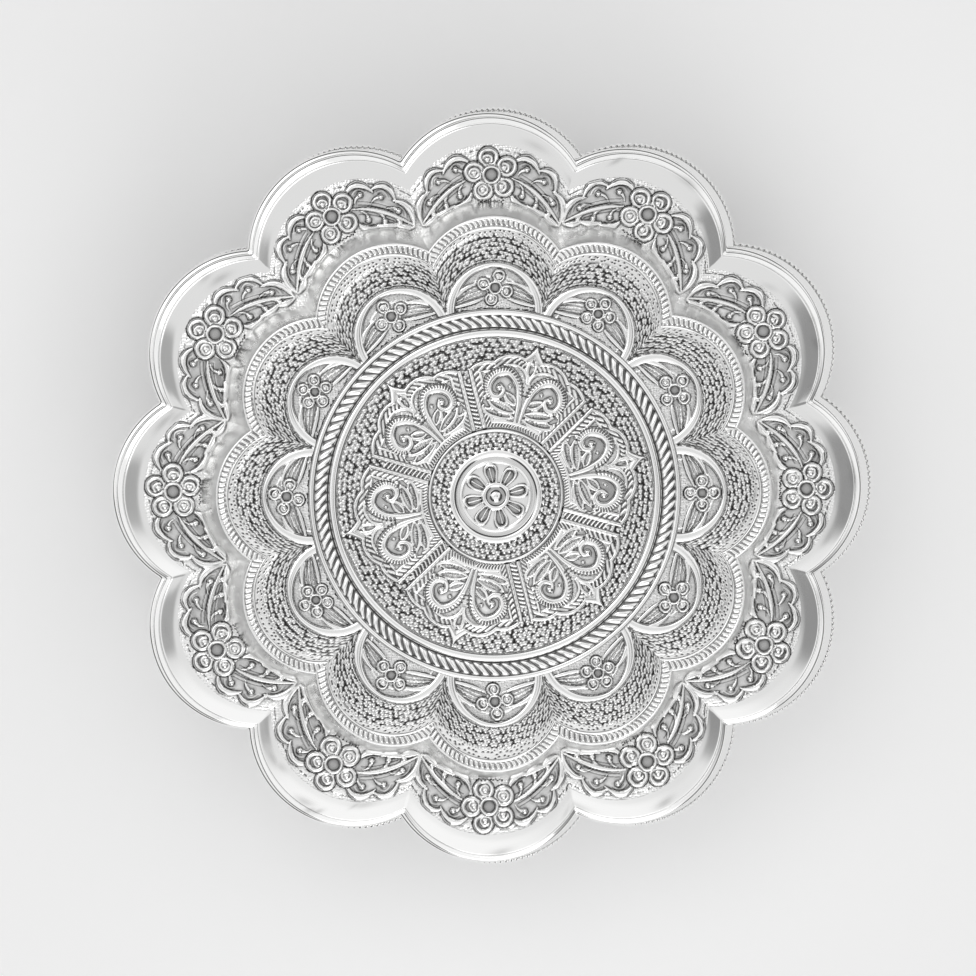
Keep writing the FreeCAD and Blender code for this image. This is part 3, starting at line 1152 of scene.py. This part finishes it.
@dataclass
class Lid(Part):
    """The stepped, chased lid, skin by skin from its rim to the bead in its middle."""

    body: Body = Body.LID
    shell: str = "lid_shell"
    offset: Pair = (-2.2, -0.2)
    lip_z: float = 54.0
    side_z: float = 58.2
    rim_z: float = 64.0
    step_z: float = 79.6
    petal_z: float = 81.4
    ring_z: float = 83.2
    centre_z: float = 85.6
    side: LobedLine = OUTLINE.grown(-1.3)
    wire_bulge: float = 1.1
    wire_height: float = 2.6
    rim_section: tuple[Pair, ...] = (
        (0.0, 54.0), (0.0, 58.0), (0.0, 62.2), (0.12, 62.8), (0.45, 63.1), (1.2, 63.3),
        (2.0, 63.5), (2.2, 63.4), (2.45, 63.55), (4.4, 63.72), (6.8, 63.9), (9.0, 64.0),
    )
    smears: int = 30
    least_smear: tuple[float, ...] = (0, 0.2, 0.008, 0.1)
    greatest_smear: tuple[float, ...] = (FULL_TURN, 0.9, 0.035, 0.35)
    band: LobedLine = LobedLine(110.2, 98.8)
    band_inner: LobedLine = LobedLine(91.9, 83.6)
    flower_r: float = 100.6
    step_top: LobedLine = LobedLine(88.3, 80.0)
    border_strokes: int = 27
    rope_inner: LobedLine = LobedLine(84.4, 74.4)
    ground_pitch: float = 1.34
    ground_pearls: int = 330
    petal: LobedLine = LobedLine(74.2, 60.3)
    petal_flower_r: float = 65.8
    petal_flowers: tuple[Flower, ...] = (Flower(4, 1.9, 2.1, 3.9, 0.65), Flower(5, 1.7, 1.95, 3.8, 0.65))
    petal_veins: tuple[Pair, ...] = ((0.3, 0.22), (0.52, 0.42), (0.74, 0.22))
    ring: float = 59.2
    ring_strokes: int = 112
    ring_middle: float = 55.3
    ring_ridges: tuple[tuple[float, ...], ...] = ((58.2, 0.95, 0.75, 0.4), (51.6, 1.35, 1.05, 0.4))
    dome: float = 50.2
    panel_pitch: float = 1.5
    panel_pearls: int = 166
    panel_turn: float = 14.0
    panel_seam: float = -16.0
    medallion: float = 21.9
    medallion_pitch: float = 1.6
    medallion_pearls: int = 66
    pearled: Pair = (15.0, 20.3)
    hollow: tuple[Pair, ...] = ((0.9, 3.9), (1.3, 5.4), (1.85, 7.6), (1.5, 9.5), (0, 10.2))
    bead: Pair = (2.1, 2.9)
    middle_ridges: tuple[tuple[float, ...], ...] = (
        (20.95, 0.6, 0.6, 0.4), (13.9, 1.25, 1.0, 0.35), (10.9, 0.5, 0.7, 0.4), (3.75, 0.9, 0.85, 0.3),
    )
    seed: int = 12

    def rim(self) -> None:
        """Upright side, tight edge and the broad polished rim, which droops a little towards its edge."""
        strip = Strip(self.side, self.band, 1, 1080)
        section = flowing(self.rim_section, 3)
        share = section[:, :1] / self.rim_section[-1][0]
        radius = self.side.radius(strip.angle) - strip.width * unit(share)
        z = np.clip(section[:, 1:], self.lip_z, self.rim_z) + 0 * strip.angle
        rng = np.random.default_rng(self.seed + 2)
        smear = 0 * z
        for at, inset, length, depth in rng.uniform(self.least_smear, self.greatest_smear, (self.smears, 4)):
            away = np.angle(np.exp(1j * (strip.angle - at - 0.06 * (share - inset))))
            smear = np.maximum(smear, depth * np.exp(-((away / length) ** 2) - ((share - inset) / 0.15) ** 2))
        sheet = Sheet(radius, strip.angle, z, marks={"patina_and_shade": smear, "matting": 0 * z})
        self._add(sheet, "lid_rim", POLISHED)

    def flower_band(self) -> None:
        """Twelve lobes of a flower between two leaf sprays, on a matted ground."""
        for part, ends in enumerate(parts_of_turn(3), 1):
            strip = Strip(self.band, self.band_inner, 72, 960, *ends)
            chasing = strip.chasing()
            for index, place in enumerate(strip.lobe_places(self.flower_r, self.seed)):
                for side in place.sides():
                    SPRAY.draw(chasing, side)
                LOBE_FLOWER.draw(chasing, place, 0.3 * math.sin(index * 2.3))
                # a row of punch marks under each flower, painted fully dark as shade in the pits
                for mark in range(-6, 7):
                    chasing.dish(place.spot((0.66 * mark, -8.3 - 0.3 * (mark % 2))), 0.3, BED, 1.0)
            dashes = (np.arange(strip.columns + 1)[None, :] // 3 % 7 > 1) * (strip.angle * 57 % 1 > 0.3)
            free = chasing.height == 0
            chasing.height -= free * ridge(strip.edge - 1.6, 0.28, 0.22, 1.0) * dashes
            chasing.height *= strip.fade(0.8, 0.9)
            crown = 0.9 * np.sin(strip.across * math.pi) ** 0.8
            level = self.rim_z + crown * unit(strip.edge / 2)
            # the plain ground painted a little dark; sunk places painted dark with oxide and shade
            sheet = strip.sheet(level, chasing.height, chasing.matted(), chasing.shade(0.06), 0.7)
            self._add(sheet, f"lid_flower_band_{part}")

    def step(self) -> None:
        """The plain steep step between the flower band and the twisted border."""
        strip = Strip(self.band_inner, self.step_top, 12, 1080)
        share = strip.across - 0.5 * np.sin(FULL_TURN * strip.across) / FULL_TURN
        sheet = strip.sheet(self.rim_z + (self.step_z - self.rim_z) * share, 0 * strip.radius)
        self._add(sheet, "lid_step", INNER)

    def twisted_border(self) -> None:
        """Lobed border of slanting strokes between two fine lines."""
        line = self.step_top
        strip = Strip(line, self.rope_inner, 20, LOBES * self.border_strokes * 8)
        edge, width = strip.edge, strip.width
        swing = np.arctan2(*line.about_lobe(strip.radius, strip.angle))
        limit = math.atan2(
            line.notch * math.sin(HALF_LOBE), line.notch * math.cos(HALF_LOBE) - line.centre
        )
        twist = 0.45 * wave(FULL_TURN * (self.border_strokes / 2 * swing / limit + 0.16 * edge)) ** 0.3
        inside = unit((edge - 0.6) / 0.5) * unit((width - 0.8 - edge) / 0.5)
        lines = ridge(edge - 0.35, 0.5, 0.45, 0.35), ridge(width - 0.4 - edge, 0.45, 0.4, 0.35)
        self._add(strip.sheet(self.step_z, highest(twist * inside, *lines)), "lid_twisted_border")

    def pearled_ground(self) -> None:
        """Punched ground between the twisted border and the petals: sparse marks, then close pearls."""
        for part, ends in enumerate(parts_of_turn(2), 1):
            strip = Strip(self.rope_inner, self.petal, 56, 1080, *ends)
            dots, pits = (
                strip.pearls(strip.edge, self.ground_pitch, self.ground_pearls, size, jitter)
                for size, jitter in ((0.53, 0.2), (0.28, 0.3))
            )
            close = unit((strip.edge + 0.9 * np.sin(5 * strip.angle) - 1.4) / 2.2)
            close = close * close * (3 - 2 * close)
            height = 0.33 * dots * close - 0.14 * pits * (1 - close)
            height *= strip.fade(0.5, 0.5)
            # painted shade between the close pearls and fully dark in the sparse pits
            oxide_and_shade = close * (0.22 + between(dots)) + 0.9 * pits * (1 - close)
            sheet = strip.sheet(self.step_z + 0.9 * strip.across**1.5, height, oxide_and_shade=oxide_and_shade)
            self._add(sheet, f"lid_pearled_ground_{part}")

    def petals(self) -> None:
        """Twelve half-moon petals with a small flower and two pointed leaves each."""
        for part, ends in enumerate(parts_of_turn(2), 1):
            strip = Strip(self.petal, circle(self.ring), 60, 900, *ends)
            chasing = strip.chasing()
            for index, place in enumerate(strip.lobe_places(self.petal_flower_r, self.seed + 1, 0.6)):
                for side in place.sides():
                    self._petal_leaf(chasing, side)
                self.petal_flowers[index % 3 // 2].draw(chasing, place, 0.35 * math.sin(index * 1.7))
            across, out = self.petal.about_lobe(strip.radius, strip.angle)
            inset = self.petal.arc - np.hypot(across, out)
            swing = np.arctan2(across, out)
            half = 0.85 + 0.65 * unit(np.abs(swing) / 1.1)
            height = laid_on(
                chasing.height,
                ridge(inset - 0.15 - half, half, 0.85, 0.32),
                ridge(inset - 0.1, 0.7, 0.7, 0.35) * (0.3 + 0.7 * wave(swing * 34)),
                ridge(inset - 4.7, 0.35, 0.3, 0.4) * (chasing.height > -0.1),
            )
            band = (inset > 1.5) & (inset < 4.2)
            ground = chasing.matted() * (height < PLAIN)
            level = self.petal_z - 0.95 * unit(1 - strip.edge / 0.5)
            # painted oxide and shade in the sunk beds and a little on the plain ground; the plain band inside
            # the petal's edge is darker
            oxide_and_shade = chasing.shade(0.06) * (height < RAISED) + 0.12 * (band & (height < PLAIN))
            self._add(strip.sheet(level, height, ground, oxide_and_shade, 0.7), f"lid_petals_{part}")

    def _petal_leaf(self, chasing: Chasing, place: Place) -> None:
        """Chases the pointed leaf on one side of a petal's flower.

        Args:
            chasing: the heights to draw on.
            place: the flower's middle, mirrored for the second side.
        """
        upper = bow((3.6, 1.6), (10.6, 1.4), (15.0, -6.4))
        lower = bow((2.4, -2.6), (7.0, -5.2), (15.0, -6.7))
        chasing.bed(place.put(np.vstack([upper, lower[::-1]])))
        for share, half in self.petal_veins:
            vein = (upper * share + lower * (1 - share))[1:-1]
            chasing.stroke(place.put(vein), (0.12, half, 0.14), 0.06 + 0.5 * half, foot=BED)
        chasing.stroke(place.put(upper), (0.3, 0.7, 0.95, 0.5), 0.65)
        chasing.stroke(place.put(lower), (0.3, 0.75, 0.7, 0.4), 0.55)

    def ring_mouldings(self) -> None:
        """Round mouldings: a smooth ridge, a band of slanting strokes and a second smooth ridge."""
        strip = Strip(circle(self.ring), circle(self.dome), 44, self.ring_strokes * 11)
        r = strip.radius
        strokes = wave(self.ring_strokes * strip.angle - FULL_TURN * (r - 53.2) * 0.27) ** 0.7
        twist = (0.5 + 0.5 * strokes) * ridge(r - self.ring_middle, 1.95, 0.9, 0.35)
        height = highest(twist, *(ridge(r - at, *size) for at, *size in self.ring_ridges))
        # painted shade in the gaps between the slanting strokes
        oxide_and_shade = 0.55 * (np.abs(r - self.ring_middle) < 1.9) * unit(1 - strokes / 0.5)
        self._add(strip.sheet(self.ring_z - 0.15, height + 0.05, oxide_and_shade=oxide_and_shade), "lid_ring_mouldings")

    def _dome_level(self, radius: Array) -> Array:
        """The low dome's height at a radius."""
        share = unit((radius - self.medallion) / (self.dome - self.medallion))
        return self.centre_z - (self.centre_z - self.ring_z) * share**1.5

    def panels(self) -> None:
        """Six pointed, cusped panels of mirrored scrolls on the domed, pearled middle."""
        for part in range(2):
            start = math.radians(self.panel_seam) + part * math.pi
            strip = Strip(circle(self.dome), circle(self.medallion), 112, 620, start, start + math.pi)
            depth = self.dome - strip.radius
            chasing = strip.chasing()
            dots = strip.pearls(depth, self.panel_pitch, self.panel_pearls, 0.52, 0.2)
            chasing.height = 0.36 * dots
            # painted shade between the pearls, with the ground a little dark
            chasing.oxide_and_shade = 0.24 + 0.9 * between(dots) * unit(depth / 1.5)
            turns = [math.radians(self.panel_turn + 60 * index) for index in range(6)]
            inside = highest(*[Panel(turn).draw(chasing) for turn in turns])
            # the plain ground painted a little dark, less inside the panels
            oxide_and_shade = chasing.shade(0.2 - 0.15 * inside)
            level = self._dome_level(strip.radius)
            sheet = strip.sheet(level, chasing.height, inside * chasing.matted(), oxide_and_shade, 0.75)
            self._add(sheet, f"lid_panels_{part + 1}")

    def middle(self) -> None:
        """The middle medallion: a fine ring, pearls, a broad ring, an eight-petalled flower and a bead."""
        strip = Strip(circle(self.medallion), circle(PIN), 84, 540)
        r = strip.radius
        chasing = strip.chasing()
        low, high = self.pearled
        bead, moat = self.bead
        dots = strip.pearls(high - r, self.medallion_pitch, self.medallion_pearls, 0.53, 0.14)
        pearled = (r < high) & (r > low)
        chasing.height = np.where(pearled, 0.4 * dots, np.where(r < 13.2, 0.45, 0.0))
        # painted shade between the pearls
        chasing.oxide_and_shade = pearled * (0.2 + between(dots))
        hollow = np.array(self.hollow)
        for index in range(8):
            place = Place((0, 0), math.radians(12 + 45 * index))
            # each spoon petal's hollow painted dark as shade
            chasing.bed(place.put(np.vstack([hollow, hollow[::-1] * (-1, 1)])), 0.1, 0.5)
            for side in place.sides():
                chasing.stroke(side.put(flowing(hollow)), (0.3, 0.5, 0.62), 0.9)
            chasing.stroke(place.put([(0, 4.6), (0.2, 8.8)]), (0.2, 0.5, 0.3), 0.3, foot=0.1)
        height = highest(
            chasing.height,
            *(ridge(r - at, *size) for at, *size in self.middle_ridges),
            ridge(r - 15.1, 0.8, 0.8, 0.35) * (0.75 + 0.25 * np.cos(44 * strip.angle)),
        )
        height = np.maximum(np.where(r < moat, 0.35, height), ridge(r, bead, 1.1))
        ground = unit(1 - height / RAISED) * (r < 13)
        # painted shade kept off the high work, and a little in the moat round the bead
        oxide_and_shade = chasing.oxide_and_shade * (height < 0.5) + 0.12 * ((r < moat) & (r > bead))
        self._add(strip.sheet(self.centre_z, height, ground, oxide_and_shade, 0.8), "lid_medallion")

    def underside(self) -> None:
        """The lid's inside, a sheet's thickness under the tiers."""
        inside = self.side.grown(-SHEET)
        section = [
            (self.side, self.lip_z),
            (inside, self.lip_z),
            (inside, self.side_z),
            (inside.grown(-1.6), self.rim_z - 2.4),
            (inside.grown(-5.0), self.rim_z - SHEET),
            (self.band_inner.grown(-1.3), self.rim_z - SHEET),
            (self.step_top.grown(-SHEET), self.step_z - SHEET),
            (self.petal.share(0.985), self.step_z - SHEET),
            (circle(self.ring - 1.5), self.petal_z - SHEET),
            (circle(self.dome), self.ring_z - SHEET),
            (circle(36.0), self.centre_z - 0.9 - SHEET),
            (circle(self.medallion), self.centre_z - SHEET),
            (circle(PIN), self.centre_z - SHEET),
        ]
        self._add(swept(section, 720, 3), "lid_inside", INNER)

    def lip_wire(self) -> None:
        """Smooth half-round wire round the lip."""
        sheet = half_round(self.side, self.lip_z, self.wire_height, self.wire_bulge, 1080)
        self._add(sheet, "lip_wire", POLISHED, "lid_lip_wire")

    def build(self) -> None:
        """Builds and dresses the whole lid."""
        self.rim()
        self.flower_band()
        self.step()
        self.twisted_border()
        self.pearled_ground()
        self.petals()
        self.ring_mouldings()
        self.panels()
        self.middle()
        self.underside()
        self.lip_wire()


# The base


@dataclass
class Base(Part):
    """The lobed base: chased wall, plain ledge and inside, twisted wire, collar, floor and foot."""

    foot_z: float = 6.0
    ledge_z: float = 54.0
    wire_low: float = 51.0
    ledge: LobedLine = OUTLINE.grown(-0.4)
    turned_in: float = 0.8
    floor_r: float = 77.72
    collar_r: float = 102.73
    foot_r: float = 81.62
    foot_wire_height: float = 2.2
    foot_wire_bulge: float = 1.2
    wall_columns: int = 840
    wall_rows: int = 72
    chased_z: Pair = (7.0, 51.2)
    lobe_length: float = 63.0
    flower_z: float = 40.4
    spray_scale: float = 0.82
    flower_scale: float = 0.9
    lines: tuple[Pair, ...] = ((25.4, 0.55), (49.4, 0.6), (8.6, 0.5))
    twist_z: Pair = (22.7, 24.8)
    petals_to_lobe: int = 7
    petal_z: float = 9.4
    wire_turns: int = 216
    plain: tuple[tuple[str, SilverFinish], ...] = (
        ("base_floor", INNER), ("base_collar", POLISHED), ("foot_ring", POLISHED),
    )

    def _share(self, z: Array) -> Array:
        """The wall's size as a share of the ledge's, at a height."""
        u = unit((z - self.foot_z) / (self.wire_low - self.foot_z))
        return 1 - (1 - self.turned_in) * (1 - u) ** 2

    def wall(self) -> None:
        """The chased wall: a flower with sprays on each lobe over a band of upright petals."""
        for part, ends in enumerate(parts_of_turn(2), 1):
            angle = np.linspace(*ends, self.wall_columns + 1)[None, :]
            z = np.linspace(self.foot_z, self.ledge_z, self.wall_rows + 1)[:, None] + 0 * angle
            along = angle / (2 * HALF_LOBE) * self.lobe_length
            chasing = Chasing(along + 0 * z, z)
            for lobe in range(part * 6 - 5, part * 6 + 1):
                place = Place((lobe * self.lobe_length, self.flower_z), math.pi / 2, self.spray_scale)
                for side in place.sides():
                    SPRAY.draw(chasing, side)
                LOBE_FLOWER.draw(chasing, replace(place, scale=self.flower_scale), 0.3 * math.sin(lobe))
            self._petals(chasing)
            twist = 0.55 * wave(FULL_TURN * (along / 1.75 + z * 0.3))
            height = highest(
                chasing.height,
                *(ridge(z - level, half, 0.6, 0.4) for level, half in self.lines),
                np.where((z > self.twist_z[0]) & (z < self.twist_z[1]), twist, 0),
                ridge(z - 22.2, 0.5, 0.6),
            )
            height *= unit((self.chased_z[1] - z) / 0.6) * unit(z - self.chased_z[0]) * 0.9
            ground = chasing.matted() * (height < PLAIN) * (z < 50)
            radius = self.ledge.radius(angle) * self._share(z) + height
            # painted oxide and shade: sunk places darker, and the plain ground a little dark
            patina_and_shade = recesses(height, False) + chasing.shade(0.15) * (height < PLAIN)
            sheet = Sheet(radius, angle, z, False, {"patina_and_shade": unit(patina_and_shade), "matting": ground})
            self._add(sheet, f"base_chased_wall_{part}")

    def _petals(self, chasing: Chasing) -> None:
        """Chases a band of upright petals round the wall's foot.

        Args:
            chasing: the wall's heights, by length along it and height.
        """
        pitch = self.lobe_length / self.petals_to_lobe
        first = int(math.floor(chasing.u.min() / pitch))
        for index in range(first, int(chasing.u.max() / pitch) + 2):
            place = Place((index * pitch, self.petal_z), math.pi / 2)
            Leaflet((0, 0), (0, 12.4), 2.1, 2.1, 1.2).draw(chasing, place)
            chasing.stroke(place.put([(0, 1.0), (0, 10.0)]), (0.55, 0.3), 0.5)

    def plain_skin(self) -> None:
        """The ledge, the wall's inside and its turned-in bottom."""
        collar, floor = circle(self.collar_r), circle(self.floor_r)
        inside = [
            (self.ledge.share(float(self._share(np.array(z)))).grown(-SHEET), float(z))
            for z in np.linspace(self.ledge_z - SHEET, self.foot_z + SHEET, 9)
        ]
        section = [(self.ledge, self.ledge_z), (collar, self.ledge_z), (collar, self.ledge_z - SHEET)]
        section += inside + [(floor, self.foot_z + SHEET), (floor, self.foot_z)]
        section += [(self.ledge.share(self.turned_in), self.foot_z)]
        self._add(swept(section, 720, 2), "base_plain_skin", POLISHED)

    def twisted_wire(self) -> None:
        """Two strands twisted together round the wall's upper edge."""
        angle = np.linspace(0, FULL_TURN, self.wire_turns * 10 + 1)[None, :]
        around = np.linspace(0, FULL_TURN, 8)[:, None]
        for strand in range(2):
            twist = angle * self.wire_turns + strand * math.pi
            out = 0.6 * np.cos(twist) + 0.78 * np.cos(around)
            up = 0.68 * np.sin(twist) + 0.78 * np.sin(around)
            # painted shade on the inner side of each strand, between the strands and towards the wall
            patina_and_shade = 0.55 * unit(0.4 - out)
            radius = self.ledge.radius(angle) + out
            sheet = Sheet(radius, angle, self.wire_low + 1.5 + up, marks={"patina_and_shade": patina_and_shade})
            self._add(sheet, f"base_twisted_wire_{strand + 1}", node="base_rope_wire")

    def wire_of_foot(self) -> None:
        """Smooth half-round wire round the foot."""
        sheet = half_round(circle(self.foot_r), 0.0, self.foot_wire_height, self.foot_wire_bulge, 360)
        self._add(sheet, "foot_round_wire", POLISHED, "foot_wire")

    def build(self, nodes: dict[str, bpy.types.Object]) -> None:
        """Builds the base's new pieces and dresses its plain solids.

        Args:
            nodes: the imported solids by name.
        """
        self.wall()
        self.plain_skin()
        self.twisted_wire()
        self.wire_of_foot()
        for name, finish in self.plain:
            self._dress(nodes[name], finish)
            LOG.info("%s: dressed", name)


# The studio


@dataclass(frozen=True)
class SkyPatch:
    """A round, soft-edged patch of the sky, full within one angle and gone at another, in degrees."""

    way: tuple[float, float, float]
    full: float
    gone: float
    shade: float = 1.0

    def over(self, nodes: Nodes, place: Socket, sky: Socket) -> Socket:
        """Lays the patch over the sky.

        Args:
            nodes: the world's nodes.
            place: the texture coordinates.
            sky: the sky's colour without the patch.

        Returns:
            The sky's colour with it.
        """
        ways = {1: Vector(self.way).normalized(), 0: place}
        dot = nodes.add("ShaderNodeVectorMath", "Value", ways, operation="DOT_PRODUCT")
        low, high = (math.cos(math.radians(angle)) for angle in (self.gone, self.full))
        faded = {"From Min": low, "From Max": high, "Value": dot}
        fade = nodes.add("ShaderNodeMapRange", "Result", faded, interpolation_type="SMOOTHSTEP")
        colours = {"B": (self.shade, self.shade, self.shade, 1), "Factor": fade, "A": sky}
        return nodes.add("ShaderNodeMix", "Result", colours, data_type="RGBA")


@dataclass
class Studio:
    """Pale floor, soft light and the camera, looking down from a little to the upper left."""

    distance: float = 5.0
    lean: Pair = (-0.084, 0.086)
    aim: tuple[float, float, float] = (-0.00285, 0.00048, 0.064)
    picture_width: float = 0.3099
    sensor: float = 36.0
    floor_size: float = 3.0
    lamp_aim: tuple[float, float, float] = (0, 0, 0.05)
    lamps: tuple[tuple[str, tuple[float, float, float], float, float], ...] = (
        ("front_lamp", (0.25, -1.5, 0.9), 1.3, 5),
        ("top_lamp", (-0.7, 0.7, 1.9), 1.1, 3.4),
    )
    heights_of_sky: tuple[Pair, ...] = (
        (0.0, 0.7), (0.12, 0.45), (0.28, 0.05), (0.52, 0.05),
        (0.7, 0.4), (0.8, 1.0), (0.92, 0.9), (0.97, 0.78),
    )
    sky_patches: tuple[SkyPatch, ...] = (
        SkyPatch((0.62, 0.32, 0.62), 10, 18),
        SkyPatch((-0.7, 0.1, 0.6), 10, 18),
        SkyPatch((0.1, -0.75, 0.55), 12, 22),
        SkyPatch((0.0, -0.38, 0.93), 8, 15),
        SkyPatch((0.3, -0.07, 0.95), 5, 8, 0.3),
        SkyPatch((-0.125, -0.085, 0.99), 3, 5, 0.4),
    )

    def floor(self) -> None:
        """A broad sheet of pale paper under the box."""
        shape = bmesh.new()
        bmesh.ops.create_grid(shape, x_segments=2, y_segments=2, size=self.floor_size)
        floor = meshed("studio_floor", shape)
        floor.data.materials.append(StudioFinish().material())

    def camera(self) -> None:
        """The camera, with the picture's upright along +Y."""
        data = bpy.data.cameras.new("camera")
        data.sensor_width = self.sensor
        data.lens = self.sensor * self.distance / self.picture_width
        camera = linked("camera", data)
        back = Vector((*self.lean, 1)).normalized()
        right = Vector((0, 1, 0)).cross(back).normalized()
        axes = Matrix((right, back.cross(right), back)).transposed().to_4x4()
        camera.matrix_world = Matrix.Translation(Vector(self.aim) + back * self.distance) @ axes
        bpy.context.scene.camera = camera

    def lamp(self, name: str, at: Sequence[float], size: float, power: float) -> None:
        """A square soft lamp that faces the box.

        Args:
            name: the lamp's name.
            at: where it hangs, in metres.
            size: its side in metres.
            power: its power in watts.
        """
        data = bpy.data.lights.new(name, "AREA")
        data.size = size
        data.energy = power
        lamp = linked(name, data)
        lamp.location = at
        lamp.rotation_euler = (Vector(self.lamp_aim) - Vector(at)).to_track_quat("-Z", "Y").to_euler()

    def surroundings(self) -> None:
        """Soft surroundings: pale overhead, bright round it, dim half way down and pale at the horizon."""
        world = bpy.data.worlds.new("studio")
        bpy.context.scene.world = world
        world.use_nodes = True
        nodes = Nodes(world.node_tree)
        place = nodes.add("ShaderNodeTexCoord", "Generated")
        up = nodes.add("ShaderNodeSeparateXYZ", "Z", {"Vector": place})
        sky = nodes.add("ShaderNodeValToRGB", "Color", {"Fac": up})
        elements = sky.node.color_ramp.elements
        while len(elements) < len(self.heights_of_sky):
            elements.new(0.5)
        for element, (at, value) in zip(elements, self.heights_of_sky):
            element.position = at
            element.color = (value, value, value, 1)
        for patch in self.sky_patches:
            sky = patch.over(nodes, place, sky)
        nodes.plug(world.node_tree.nodes["Background"], {"Color": sky, "Strength": 1.0})

    def build(self) -> None:
        """Sets up the whole studio."""
        self.floor()
        self.camera()
        self.surroundings()
        for lamp in self.lamps:
            self.lamp(*lamp)
        bpy.context.scene.view_settings.view_transform = "Standard"


def main() -> None:
    """Builds the box piece by piece, then the studio."""
    logging.basicConfig(level=logging.INFO, format="%(message)s")
    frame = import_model()
    materials = {finish: finish.material() for finish in (POLISHED, CHASED, INNER)}
    Lid(materials).build()
    Base(materials).build(frame["nodes"])
    Studio().build()


if __name__ == "__main__":
    main()
